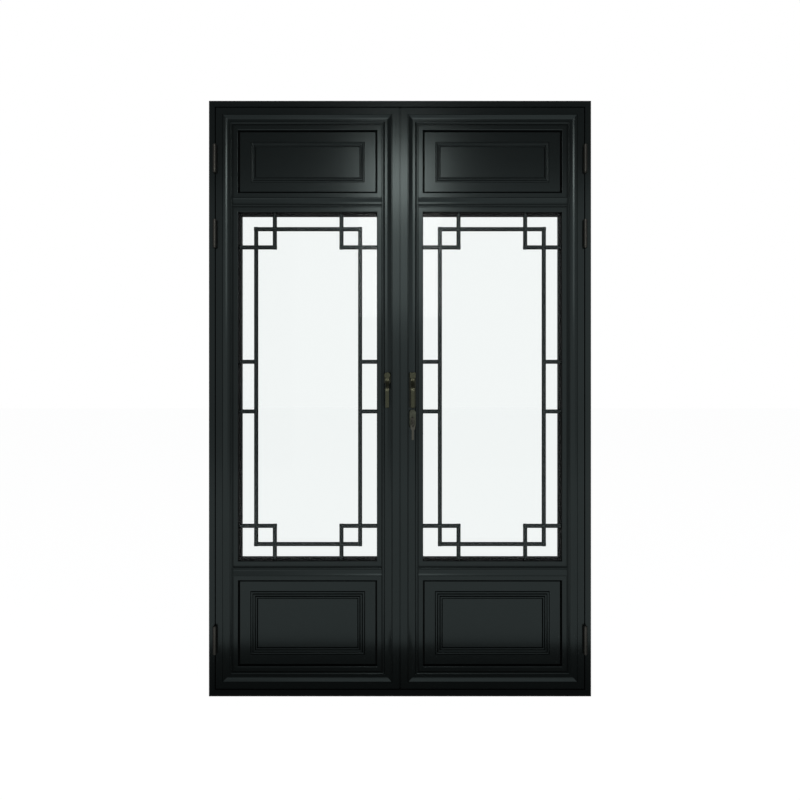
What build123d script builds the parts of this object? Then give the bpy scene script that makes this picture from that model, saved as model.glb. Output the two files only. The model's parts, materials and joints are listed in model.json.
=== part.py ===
from build123d import *
from math import cos, radians
import os

# A pair of glazed swing doors in their four-sided aluminium frame, millimetres, +Z up.
# X runs across the doorway, the front faces -Y, and the origin is at the centre of the sill's underside.
# Sections are drawn as (u, v): u runs inward from a member's outer edge, v runs back from the front plane.

# Frame
FRAME_WIDTH = 1450.0
FRAME_HEIGHT = 2260.0
FRAME_DEPTH = 110.0
FRAME_FACE = 22.0
SILL_FOOT = 2.0
FRAME_STOP_LAP = 16.0
FRAME_WALL = 2.0
FRAME_WEB_BACK = 54.0
FRAME_CLEAT_LEG = 90.0

# Gaps round the leaves
SIDE_GAP = 4.0
SILL_GAP = 5.0
MEETING_GAP = 8.0
STOP_GAP = 3.0
SEAL_CLEARANCE = 0.4
SEAL_WIDTH = 9.0

# Leaf section
LEAF_DEPTH = 68.0
LEAF_FLAT = 25.0
MOULDING_ZONE = 41.0
MOULDING_SEAT = 5.0
BEAD_WIDTH = 18.0
LEAF_WALL = 2.0
GROOVE_WIDTH = 15.0
GROOVE_DEPTH = 9.0
GROOVE_FRONT = 26.5
LEAF_CLEAT_LEG = 110.0
LEAF_CLEAT_WIDTH = 28.0
MEETING_LIP_FRONT = 8.0
MEETING_LIP_THICK = 3.0
MEETING_LIP_SPLIT = 1.5
MEETING_SEAL_SPLIT = 0.8
MEETING_SEAL_DEPTH = 5.0

# Rails between the panels and the glass
MID_RAIL_FACE = 38.0
LOWER_RAIL_Z = 475.6
UPPER_RAIL_DROP = 384.7

# Moulding strip and bead
STRIP_GROOVE = 2.2
STRIP_CREST = 9.2
STRIP_CREST_END = 2.0
STRIP_SHOULDER = 0.8
STRIP_COVE_END = 17.0
STRIP_COVE_SAG = 0.7
STRIP_FLOOR = 5.4
STRIP_RIDGE_WIDTH = 7.0
STRIP_RIDGE_TOP = 9.0
STRIP_QUIRK = 4.6
STRIP_QUIRK_SLANT = 1.2
STRIP_LEDGE = 2.3
BEAD_FRONT = 1.0
BEAD_WALL = 2.0
BEAD_RADIUS = 2.5
BEAD_FOOT = 6.0
FIT = 0.3

# Glass unit, from front to back
BEAD_BACK = 7.0
PANEL_BEAD_BACK = 20.0
FRONT_GASKET = 1.5
PANE = 5.0
CAVITY = 20.0
BACK_GASKET = 3.0
GLASS_LAP = 14.0
GASKET_WIDTH = 6.0
SPACER_WIDTH = 8.0

# Lattice bars in the glass unit
BAR_WIDTH = 15.5
BAR_THICK = 9.0
BAR_SET_BACK = 1.0
BAR_BEVEL = 3.0
LATTICE_SIDE = 64.6
LATTICE_SIDE_SHORT = 136.0
LATTICE_END = 60.3
LATTICE_END_SHORT = 130.0
LATTICE_MIDDLE = 95.0

# Panels
PANEL_REVEAL = 4.5
PANEL_FIELD_FRONT = 8.5
PANEL_CHAMFER = 1.5
UPPER_RING_SIDE = 46.5
UPPER_RING_TOP = 32.5
UPPER_RING_BOTTOM = 38.8
UPPER_RIDGES = ((2.6, 1.6), (11.0, 3.0), (18.4, 3.2))
UPPER_RING_WIDTH = 25.0
LOWER_RING_SIDE = 47.5
LOWER_RING_TOP = 43.0
LOWER_RING_BOTTOM = 40.4
LOWER_RIDGES = ((2.6, 2.0), (13.0, 3.2), (23.4, 3.8))
LOWER_RING_WIDTH = 30.0
RING_PLINTH = 3.5
RING_QUIRK_WIDTH = 3.0
RING_QUIRK_DEPTH = 3.0

# Hinges
LOWER_HINGE_Z = 216.4
MIDDLE_HINGE_DROP = 505.7
UPPER_HINGE_DROP = 221.5
BARREL_RADIUS = 7.5
BARREL_OFFSET = 8.0
END_KNUCKLE = 29.5
MIDDLE_KNUCKLE = 44.0
KNUCKLE_GAP = 0.5
PIN_RADIUS = 3.0
PIN_CLEARANCE = 0.05
PIN_CAP_RADIUS = 5.5
PIN_CAP = 2.0
FLAP_THICK = 1.8
FLAP_BACK = 24.0
SCREW_RADIUS = 2.1
SCREW_HEAD_RADIUS = 3.8
SCREW_LENGTH = 12.0
SCREW_DEPTH = 14.0
SCREW_SPREAD = 32.0
SCREW_CLEARANCE = 0.1
SCREW_SIDES = 8

# Handles
HANDLE_Z = 1217.0
HANDLE_BACKSET = 44.0
PLATE_WIDTH = 24.0
PLATE_SHORT = 46.0
PLATE_LONG = 137.0
HEAD_CLEARANCE = 0.8
HEAD_WIDTH = 24.0
HEAD_BELOW = 10.0
HEAD_DEPTH = 17.0
ROUND_HEAD_CORNER = 11.0
SQUARE_HEAD_CORNER = 4.5
LEVER_WIDTH = 13.0
LEVER_THICK = 8.0
LEVER_REACH = 29.0
LEVER_LENGTH = 121.7
LEVER_BEND = 62.0
HEAD_EDGE = 1.5
HEAD_LOWER_CORNER = 10.9
LEVER_ROOT_FRONT = 12.5
LEVER_ROOT_BACK = 4.5
LEVER_ROOT_RISE = 4.0
LEVER_BEND_LAG = 3.0
LEVER_TIP = 2.0
SPINDLE = 8.0
SPINDLE_FIT = 0.05
SPINDLE_HOLE_RADIUS = 7.0
CUT_CLEARANCE = 0.5

# Bolt gear in the meeting edge
GEAR_HALF_HEIGHT = 75.0
LOCK_BELOW = 235.0
GEAR_DEPTH = 58.0
GEAR_EDGE = 2.5
ROD_THICK = 4.0
ROD_EDGE = 3.0
ROD_END_INSET = 3.0
ROD_THROW = 18.0
KEEP_THICK = 1.5
KEEP_LENGTH = 32.0
KEEP_MARGIN = 6.0

# Lock cylinder, escutcheons and keys on the right leaf
KEY_Z = 1051.0
ESCUTCHEON_WIDTH = 23.6
ESCUTCHEON_HEIGHT = 69.5
ESCUTCHEON_Z = 1053.6
ESCUTCHEON_THICK = 14.0
CYLINDER_RADIUS = 8.5
CYLINDER_STEM = 10.0
CYLINDER_DROP = 24.5
CYLINDER_PROUD = 3.0
PLUG_RADIUS = 7.0
PLUG_LENGTH = 42.0
KEYWAY_END = 8.0
KEY_THICK = 2.2
KEY_BLADE = 8.2
KEY_BOW = 25.0
KEY_BOW_LENGTH = 28.0
KEY_SHANK = 3.0
KEY_LAP = 2.0
KEY_HOLE_RADIUS = 3.2
KEY_HOLE_INSET = 6.0
KEYWAY_FIT = 0.2
RING_RADIUS = 10.0
RING_WIRE = 0.9
RING_WIRE_SIDES = 6
RING_SLACK = 0.7
RING_TURN = 45
SPARE_BOW_WIDTH = 17.0
SPARE_BOW_HEIGHT = 20.0
SPARE_BLADE_WIDTH = 8.5
SPARE_BLADE = 38.0
SPARE_RIM = 2.4
SPARE_LAP = 1.0

# Wall fixings through the jambs
FIXING_RADIUS = 4.2
FIXING_BACK = 45.0
FIXING_WIDE = 760.0
FIXING_MIDDLE = 260.0

FRONT_Y = -FRAME_DEPTH / 2
SILL_FACE = FRAME_FACE + SILL_FOOT
UPPER_RAIL_Z = FRAME_HEIGHT - UPPER_RAIL_DROP
HINGE_HEIGHTS = (LOWER_HINGE_Z, FRAME_HEIGHT - MIDDLE_HINGE_DROP, FRAME_HEIGHT - UPPER_HINGE_DROP)
FIXING_Z = FRAME_HEIGHT / 2
PLATE_THICK = STRIP_CREST + HEAD_CLEARANCE
STOP_FRONT = LEAF_DEPTH + STOP_GAP
FRAME_X = FRAME_WIDTH / 2
HINGE_X = -FRAME_X + FRAME_FACE + SIDE_GAP / 2
LEAF_X0 = -FRAME_X + FRAME_FACE + SIDE_GAP
LEAF_X1 = -MEETING_GAP / 2
LEAF_Z0 = SILL_FACE + SILL_GAP
LEAF_Z1 = FRAME_HEIGHT - FRAME_FACE - SIDE_GAP
TUBE_WIDTH = LEAF_FLAT + MOULDING_ZONE
SIGHT = TUBE_WIDTH + BEAD_WIDTH
GROOVE_BACK = GROOVE_FRONT + GROOVE_WIDTH
PANE_FRONT = BEAD_BACK + FRONT_GASKET
CAVITY_FRONT = PANE_FRONT + PANE
CAVITY_BACK = CAVITY_FRONT + CAVITY
UNIT_BACK = CAVITY_BACK + PANE
LIP_FRONT = UNIT_BACK + BACK_GASKET
PANEL_EDGE_FRONT = PANEL_BEAD_BACK + FRONT_GASKET
PERIMETER_STRIP = MOULDING_ZONE - 2 * STRIP_GROOVE
RAIL_STRIP = MID_RAIL_FACE - 2 * STRIP_GROOVE
HANDLE_X = LEAF_X1 - HANDLE_BACKSET
PLATE_FRONT = MOULDING_SEAT - PLATE_THICK
PLATE_BACK = LEAF_DEPTH + PLATE_THICK
LEAF_BOX = (LEAF_X0, LEAF_X1, LEAF_Z0, LEAF_Z1)
FRAME_BOX = (-FRAME_X, FRAME_X, SILL_FOOT, FRAME_HEIGHT)


def rail_edge(z, up):
    """Where the beads end on a rail's upper or lower side."""
    return z + up * (MID_RAIL_FACE / 2 + BEAD_WIDTH)


GLASS_BOX = (LEAF_X0 + SIGHT, LEAF_X1 - SIGHT, rail_edge(LOWER_RAIL_Z, 1), rail_edge(UPPER_RAIL_Z, -1))
LOWER_BOX = (LEAF_X0 + SIGHT, LEAF_X1 - SIGHT, LEAF_Z0 + SIGHT, rail_edge(LOWER_RAIL_Z, -1))
UPPER_BOX = (LEAF_X0 + SIGHT, LEAF_X1 - SIGHT, rail_edge(UPPER_RAIL_Z, 1), LEAF_Z1 - SIGHT)
OPENINGS = ((GLASS_BOX, BEAD_BACK), (UPPER_BOX, PANEL_BEAD_BACK), (LOWER_BOX, PANEL_BEAD_BACK))


def depth(v):
    """The Y of a point that lies v behind the front plane."""
    return FRONT_Y + v


def block(x0, x1, v0, v1, z0, z1):
    """A box between two corners, with its depth counted from the front plane."""
    size = (x1 - x0, v1 - v0, z1 - z0)
    return Pos((x0 + x1) / 2, depth((v0 + v1) / 2), (z0 + z1) / 2) * Box(*size)


def grow(box, by):
    x0, x1, z0, z1 = box
    return (x0 - by, x1 + by, z0 - by, z1 + by)


def slab(box, v0, v1):
    x0, x1, z0, z1 = box
    return block(x0, x1, v0, v1, z0, z1)


def flat_ring(outer, inner, v0, v1):
    """A one-piece rectangular ring, such as a moulded gasket."""
    return slab(outer, v0, v1) - slab(inner, v0 - 1, v1 + 1)


def side_plane(side, box):
    """The plane of a section on one side of a box: x inward, y back, z along the side."""
    x0, x1, z0, z1 = box
    places = {
        "left": ((x0, FRONT_Y, z0), (1, 0, 0), (0, 0, 1)),
        "right": ((x1, FRONT_Y, z1), (-1, 0, 0), (0, 0, -1)),
        "bottom": ((x1, FRONT_Y, z0), (0, 0, 1), (-1, 0, 0)),
        "top": ((x0, FRONT_Y, z1), (0, 0, -1), (1, 0, 0)),
    }
    origin, inward, along = places[side]
    return Plane(origin=origin, x_dir=inward, z_dir=along)


def mitred_bar(section, side, box, reach):
    """A bar of the section along one side of a box, its ends cut at 45 degrees."""
    x0, x1, z0, z1 = box
    length = z1 - z0 if side in ("left", "right") else x1 - x0
    plane = side_plane(side, box)
    bar = extrude(plane * section, amount=length, dir=plane.z_dir)
    outline = Polygon((0, 0), (reach, reach), (reach, length - reach), (0, length), align=None)
    face = Plane(origin=plane.origin, x_dir=plane.x_dir, z_dir=-plane.y_dir)
    return bar & extrude(face * outline, amount=2 * FRAME_DEPTH, both=True)


def mitred_ring(section, box, reach):
    return [mitred_bar(section, side, box, reach) for side in ("left", "top", "right", "bottom")]


def obround(width, height):
    """A flat shape with two straight sides and two half-round ends."""
    return SlotOverall(height, width, rotation=90)


def front_plane(x, v, z):
    """A plane facing the front at (x, z), with its own x to the right and y up."""
    return Plane(origin=(x, depth(v), z), x_dir=(1, 0, 0), z_dir=(0, -1, 0))


def from_front(sketch, x, z, v0, v1):
    """The sketch, drawn as seen from the front, made solid from depth v0 back to v1."""
    return extrude(front_plane(x, v1, z) * sketch, amount=v1 - v0, dir=(0, -1, 0))


def mirrored(part):
    return mirror(part, about=Plane.YZ)


def save(name, *solids):
    shape = solids[0] if len(solids) == 1 else Compound(children=list(solids))
    export_step(shape, f"parts/{name}.step")


# Frame members

def frame_section():
    """Hollow frame section with its stop, two chambers and a web."""
    wall = FRAME_WALL
    face = FRAME_FACE
    stop = face + SIDE_GAP + FRAME_STOP_LAP
    outer = Polygon((0, 0), (face, 0), (face, STOP_FRONT), (stop, STOP_FRONT),
                    (stop, FRAME_DEPTH), (0, FRAME_DEPTH), align=None)
    front = Polygon((wall, wall), (face - wall, wall), (face - wall, FRAME_WEB_BACK),
                    (wall, FRAME_WEB_BACK), align=None)
    start = FRAME_WEB_BACK + wall
    back = Polygon((wall, start), (face - wall, start), (face - wall, STOP_FRONT + wall),
                   (stop - wall, STOP_FRONT + wall), (stop - wall, FRAME_DEPTH - wall),
                   (wall, FRAME_DEPTH - wall), align=None)
    return outer - front - back


def cut_fixings(jamb, side):
    """Two pairs of wall fixing holes through the jamb's front chamber."""
    for rise in (FIXING_WIDE, FIXING_MIDDLE):
        for up in (-1, 1):
            place = Pos(side * (FRAME_X - FRAME_FACE / 2), depth(FIXING_BACK), FIXING_Z + up * rise)
            jamb -= place * Rot(0, 90, 0) * Cylinder(FIXING_RADIUS, FRAME_FACE + 2)
    return jamb


def rod_slot(side, z, clearance, height):
    """The space round a bolt rod's end, for the slot in a keep or a frame member."""
    near = LEAF_X1 - ROD_EDGE + clearance
    far = LEAF_X1 - ROD_EDGE - ROD_THICK - clearance
    slot = block(far, near, GROOVE_FRONT - clearance, GROOVE_BACK + clearance, z, z + height)
    return slot if side < 0 else mirrored(slot)


def make_frame():
    reach = FRAME_FACE + SIDE_GAP + FRAME_STOP_LAP + 1
    section = frame_section()
    left = mitred_bar(section, "left", FRAME_BOX, reach)
    right = mitred_bar(section, "right", FRAME_BOX, reach)
    head = mitred_bar(section, "top", FRAME_BOX, reach)
    sill = mitred_bar(section, "bottom", FRAME_BOX, reach)
    sill += block(-FRAME_X, FRAME_X, 0, FRAME_DEPTH, 0, SILL_FOOT)
    for side in (-1, 1):
        head -= rod_slot(side, FRAME_HEIGHT - FRAME_FACE - 1, 1, FRAME_WALL + 2)
        sill -= rod_slot(side, SILL_FACE - FRAME_WALL - 1, 1, FRAME_WALL + 2)
    save("frame_head", head)
    save("frame_sill", sill)
    for name, side, jamb in (("left", -1, left), ("right", 1, right)):
        jamb = cut_fixings(jamb, side)
        for z in HINGE_HEIGHTS:
            for drill in hinge_screws(z, 1, SCREW_CLEARANCE):
                jamb -= drill if side < 0 else mirrored(drill)
        save(f"frame_{name}_jamb", jamb)


def angle_cleat(corner_x, corner_z, right, up, width, leg, v0, v1):
    """An L-shaped corner cleat whose outer corner is at (corner_x, corner_z)."""
    outline = Polygon((0, 0), (leg, 0), (leg, width), (width, width), (width, leg), (0, leg), align=None)
    solid = extrude(Plane.XZ * outline, amount=v1 - v0, dir=(0, 1, 0))
    if right < 0:
        solid = mirror(solid, about=Plane.YZ)
    if up < 0:
        solid = mirror(solid, about=Plane.XY)
    return Pos(corner_x, depth(v0), corner_z) * solid


def corner_cleats(box, inset, width, leg, v0, v1):
    x0, x1, z0, z1 = grow(box, -inset)
    corners = ((x0, z0, 1, 1), (x1, z0, -1, 1), (x0, z1, 1, -1), (x1, z1, -1, -1))
    return [angle_cleat(x, z, right, up, width, leg, v0, v1) for x, z, right, up in corners]


def make_frame_fittings():
    inset = FRAME_WALL + FIT
    width = FRAME_FACE - 2 * inset
    start = FRAME_WEB_BACK + inset
    cleats = corner_cleats(FRAME_BOX, inset, width, FRAME_CLEAT_LEG, start, FRAME_DEPTH - inset)
    save("frame_corner_cleats", *cleats)
    seal_box = (-FRAME_X + FRAME_FACE, FRAME_X - FRAME_FACE, SILL_FACE, FRAME_HEIGHT - FRAME_FACE)
    near = SIDE_GAP + (FRAME_STOP_LAP - SEAL_WIDTH) / 2
    seal = Polygon((near, LEAF_DEPTH + SEAL_CLEARANCE), (near + SEAL_WIDTH, LEAF_DEPTH + SEAL_CLEARANCE),
                   (near + SEAL_WIDTH, STOP_FRONT), (near, STOP_FRONT), align=None)
    save("frame_stop_seal", *mitred_ring(seal, seal_box, near + SEAL_WIDTH + 1))
    keeps = []
    for side in (-1, 1):
        for z in (SILL_FACE, FRAME_HEIGHT - FRAME_FACE - KEEP_THICK):
            x1 = LEAF_X1 + FIT
            keep = block(x1 - KEEP_LENGTH, x1, GROOVE_FRONT - KEEP_MARGIN, GROOVE_BACK + KEEP_MARGIN,
                         z, z + KEEP_THICK)
            keep = keep if side < 0 else mirrored(keep)
            keeps.append(keep - rod_slot(side, z - 1, 1, KEEP_THICK + 2))
    save("bolt_keeps", *keeps)


# Hinges, drawn on the left side

def barrel(radius, z0, z1):
    return Pos(HINGE_X, depth(-BARREL_OFFSET), z0) * Cylinder(
        radius, z1 - z0, align=(Align.CENTER, Align.CENTER, Align.MIN))


def hinge_spans(z):
    """The heights of the lower, middle and upper knuckles of the hinge centred on z."""
    half = MIDDLE_KNUCKLE / 2
    middle = (z - half, z + half)
    lower = (z - half - KNUCKLE_GAP - END_KNUCKLE, z - half - KNUCKLE_GAP)
    upper = (z + half + KNUCKLE_GAP, z + half + KNUCKLE_GAP + END_KNUCKLE)
    return lower, middle, upper


def hinge_screws(z, frame_side, clearance):
    """Two flat-headed screws through one flap, or the holes for them, with few faces because they are many."""
    face = HINGE_X - SIDE_GAP / 2 + FLAP_THICK if frame_side else HINGE_X + SIDE_GAP / 2 - FLAP_THICK
    out = -1 if frame_side else 1
    solids = []
    for up in (-1, 1):
        screw = extrude(RegularPolygon(SCREW_HEAD_RADIUS + clearance, SCREW_SIDES), amount=FLAP_THICK - FIT)
        screw += extrude(RegularPolygon(SCREW_RADIUS + clearance, SCREW_SIDES), amount=SCREW_LENGTH + clearance)
        solids.append(Pos(face, depth(SCREW_DEPTH), z + up * SCREW_SPREAD) * Rot(0, 90 * out, 0) * screw)
    return solids


def hinge_flap(z, frame_side):
    """One half of a butt hinge: its flap in the gap and its knuckles in front of it."""
    lower, middle, upper = hinge_spans(z)
    own = (lower, upper) if frame_side else (middle,)
    other = (middle,) if frame_side else (lower, upper)
    x0 = HINGE_X - SIDE_GAP / 2 if frame_side else HINGE_X + SIDE_GAP / 2 - FLAP_THICK
    flap = block(x0, x0 + FLAP_THICK, -BARREL_OFFSET, FLAP_BACK, lower[0], upper[1])
    for z0, z1 in other:
        flap -= barrel(BARREL_RADIUS + 2 * KNUCKLE_GAP, z0 - KNUCKLE_GAP, z1 + KNUCKLE_GAP)
    for z0, z1 in own:
        flap += barrel(BARREL_RADIUS, z0, z1)
    flap -= barrel(PIN_RADIUS + PIN_CLEARANCE, lower[0] - 1, upper[1] + 1)
    for drill in hinge_screws(z, frame_side, SCREW_CLEARANCE):
        flap -= drill
    return flap


def hinge_pin(z):
    lower, middle, upper = hinge_spans(z)
    pin = barrel(PIN_RADIUS, lower[0], upper[1])
    pin += barrel(PIN_CAP_RADIUS, upper[1], upper[1] + PIN_CAP)
    pin += barrel(PIN_CAP_RADIUS, lower[0] - PIN_CAP, lower[0])
    return pin


def both_sides(solids):
    return [*solids, *[mirrored(s) for s in solids]]


def make_hinges():
    save("frame_hinge_flaps", *both_sides([hinge_flap(z, 1) for z in HINGE_HEIGHTS]))
    save("hinge_pins", *both_sides([hinge_pin(z) for z in HINGE_HEIGHTS]))
    frame_screws = [s for z in HINGE_HEIGHTS for s in hinge_screws(z, 1, 0)]
    save("frame_hinge_screws", *both_sides(frame_screws))
    flaps = [hinge_flap(z, 0) for z in HINGE_HEIGHTS]
    screws = [s for z in HINGE_HEIGHTS for s in hinge_screws(z, 0, 0)]
    save("left_hinge_flaps", *flaps)
    save("left_hinge_screws", *screws)
    save("right_hinge_flaps", *[mirrored(s) for s in flaps])
    save("right_hinge_screws", *[mirrored(s) for s in screws])


# Leaf members, drawn for the left leaf

def leaf_section():
    """Hollow stile and rail section: front step for the moulding, edge groove and back glazing lip."""
    wall = LEAF_WALL
    outer = Polygon((0, 0), (LEAF_FLAT, 0), (LEAF_FLAT, MOULDING_SEAT), (TUBE_WIDTH, MOULDING_SEAT),
                    (TUBE_WIDTH, LIP_FRONT), (SIGHT, LIP_FRONT), (SIGHT, LEAF_DEPTH), (0, LEAF_DEPTH),
                    (0, GROOVE_BACK), (GROOVE_DEPTH, GROOVE_BACK), (GROOVE_DEPTH, GROOVE_FRONT),
                    (0, GROOVE_FRONT), align=None)
    inner = TUBE_WIDTH - wall
    front = Polygon((wall, MOULDING_SEAT + wall), (inner, MOULDING_SEAT + wall),
                    (inner, GROOVE_FRONT - wall), (wall, GROOVE_FRONT - wall), align=None)
    middle = Polygon((GROOVE_DEPTH + wall, GROOVE_FRONT), (inner, GROOVE_FRONT),
                     (inner, GROOVE_BACK), (GROOVE_DEPTH + wall, GROOVE_BACK), align=None)
    start = max(GROOVE_BACK, LIP_FRONT) + wall
    back = Polygon((wall, start), (SIGHT - wall, start), (SIGHT - wall, LEAF_DEPTH - wall),
                   (wall, LEAF_DEPTH - wall), align=None)
    return outer - front - middle - back


def euro_profile(grow_by):
    """The keyhole outline of a profile cylinder: a round top on a narrow stem."""
    head = Circle(CYLINDER_RADIUS + grow_by)
    stem = Pos(0, -(CYLINDER_DROP - CYLINDER_STEM / 2) / 2) * Rectangle(
        CYLINDER_STEM + 2 * grow_by, CYLINDER_DROP - CYLINDER_STEM / 2)
    foot = Pos(0, -CYLINDER_DROP + CYLINDER_STEM / 2) * Circle(CYLINDER_STEM / 2 + grow_by)
    return head + stem + foot


def spindle_hole(v0, v1, radius):
    return from_front(Circle(radius), HANDLE_X, HANDLE_Z, v0, v1)


def key_hole(v0, v1, clearance):
    return from_front(euro_profile(clearance), HANDLE_X, KEY_Z, v0, v1)


def gear_case(below, clearance):
    """The bolt gear's case, or with a clearance the space milled for it: a deep box behind its edge strip."""
    top = HANDLE_Z + GEAR_HALF_HEIGHT + clearance
    bottom = HANDLE_Z - below - clearance
    v0 = GROOVE_FRONT + FIT - clearance
    v1 = GROOVE_BACK - FIT + clearance
    return block(LEAF_X1 - GEAR_DEPTH - clearance, LEAF_X1 - GEAR_EDGE + clearance, v0, v1, bottom, top)


def lock_stile(below, has_lock):
    """Meeting stile with its front lip, milled for the handle, the bolt gear and the lock."""
    stile = mitred_bar(leaf_section(), "right", LEAF_BOX, SIGHT)
    stile += block(LEAF_X1, -MEETING_LIP_SPLIT / 2, MEETING_LIP_FRONT,
                   MEETING_LIP_FRONT + MEETING_LIP_THICK, LEAF_Z0, LEAF_Z1)
    stile -= gear_case(below, FIT)
    stile -= spindle_hole(-1, LEAF_DEPTH + 1, SPINDLE_HOLE_RADIUS)
    if has_lock:
        stile -= key_hole(-1, LEAF_DEPTH + 1, CUT_CLEARANCE)
    return stile


def hinge_stile():
    stile = mitred_bar(leaf_section(), "left", LEAF_BOX, SIGHT)
    for z in HINGE_HEIGHTS:
        for drill in hinge_screws(z, 0, SCREW_CLEARANCE):
            stile -= drill
    return stile


def mid_rail(z):
    """A rail between two openings: a tube between the stiles, with a glazing lip above and below."""
    half = MID_RAIL_FACE / 2
    wall = LEAF_WALL
    x0 = LEAF_X0 + TUBE_WIDTH
    x1 = LEAF_X1 - TUBE_WIDTH
    rail = block(x0, x1, MOULDING_SEAT, LIP_FRONT, z - half, z + half)
    rail += block(LEAF_X0 + SIGHT, LEAF_X1 - SIGHT, LIP_FRONT, LEAF_DEPTH,
                  z - half - BEAD_WIDTH, z + half + BEAD_WIDTH)
    rail -= block(x0 - 1, x1 + 1, MOULDING_SEAT + wall, LIP_FRONT - wall, z - half + wall, z + half - wall)
    rail -= block(x0 - 1, x1 + 1, LIP_FRONT + wall, LEAF_DEPTH - wall,
                  z - half - BEAD_WIDTH + wall, z + half + BEAD_WIDTH - wall)
    return rail


def moulding_section(width):
    """Moulding strip: a crest outside, a cove down to a flat, and a rounded ridge between quirks inside."""
    def at(d, h):
        return (d, MOULDING_SEAT - h)

    ridge_in = width - STRIP_LEDGE
    ridge_out = ridge_in - STRIP_RIDGE_WIDTH
    flat_end = ridge_out - STRIP_QUIRK_SLANT
    low = STRIP_CREST - STRIP_SHOULDER
    bend = STRIP_SHOULDER * (1 - cos(radians(45)))
    cove_middle = (STRIP_CREST_END + STRIP_COVE_END) / 2
    cove_height = (STRIP_CREST + STRIP_FLOOR) / 2 - STRIP_COVE_SAG
    ridge_middle = (ridge_out + ridge_in) / 2
    crest = ThreePointArc(at(0, low), at(bend, STRIP_CREST - bend), at(STRIP_SHOULDER, STRIP_CREST))
    cove = ThreePointArc(at(STRIP_CREST_END, STRIP_CREST), at(cove_middle, cove_height),
                         at(STRIP_COVE_END, STRIP_FLOOR))
    ridge = ThreePointArc(at(ridge_out, STRIP_QUIRK), at(ridge_middle, STRIP_RIDGE_TOP),
                          at(ridge_in, STRIP_QUIRK))
    side = Line(at(0, 0), at(0, low))
    top = Line(at(STRIP_SHOULDER, STRIP_CREST), at(STRIP_CREST_END, STRIP_CREST))
    flat = Polyline(at(STRIP_COVE_END, STRIP_FLOOR), at(flat_end, STRIP_FLOOR), at(ridge_out, STRIP_QUIRK))
    base = Polyline(at(ridge_in, STRIP_QUIRK), at(width, STRIP_QUIRK), at(width, 0), at(0, 0))
    return make_face(Curve() + [side, crest, top, cove, flat, ridge, base])


def handle_cuts(long_plate):
    """What is cut from the moulding for the handle plate, and beside a lock for the escutcheon."""
    cuts = [handle_plate(long_plate, PLATE_FRONT - 1, MOULDING_SEAT, CUT_CLEARANCE)]
    if long_plate:
        shape = obround(ESCUTCHEON_WIDTH + 2 * CUT_CLEARANCE, ESCUTCHEON_HEIGHT + 2 * CUT_CLEARANCE)
        cuts.append(from_front(shape, HANDLE_X, ESCUTCHEON_Z, -STRIP_CREST, MOULDING_SEAT))
    return cuts


def mouldings(long_plate):
    """The four mitred strips round the leaf and the two strips on its rails, crests away from the glass."""
    around = grow(LEAF_BOX, -LEAF_FLAT - STRIP_GROOVE)
    strips = mitred_ring(moulding_section(PERIMETER_STRIP), around, PERIMETER_STRIP)
    for cut in handle_cuts(long_plate):
        strips[2] -= cut
    x0 = LEAF_X0 + TUBE_WIDTH
    x1 = LEAF_X1 - TUBE_WIDTH
    section = moulding_section(RAIL_STRIP)
    for z, side, up in ((UPPER_RAIL_Z, "top", 1), (LOWER_RAIL_Z, "bottom", -1)):
        edge = z + up * RAIL_STRIP / 2
        plane = side_plane(side, (x0, x1, edge, edge))
        strips.append(extrude(plane * section, amount=x1 - x0, dir=plane.z_dir))
    return strips


def bead_section(back):
    """Snap-in bead, open at the back: a clip leg, a front with a rounded edge, and a foot on the gasket."""
    front, wide, wall = BEAD_FRONT, BEAD_WIDTH, BEAD_WALL
    bend = BEAD_RADIUS * (1 - cos(radians(45)))
    nose = ThreePointArc((wide - BEAD_RADIUS, front), (wide - bend, front + bend), (wide, front + BEAD_RADIUS))
    rest = Polyline((wide, front + BEAD_RADIUS), (wide, back), (wide - BEAD_FOOT, back),
                    (wide - BEAD_FOOT, back - wall), (wide - wall, back - wall), (wide - wall, front + wall),
                    (FIT + wall, front + wall), (FIT + wall, back / 2), (FIT, back / 2), (FIT, front),
                    (wide - BEAD_RADIUS, front))
    return make_face(Curve() + [nose, rest])


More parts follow.
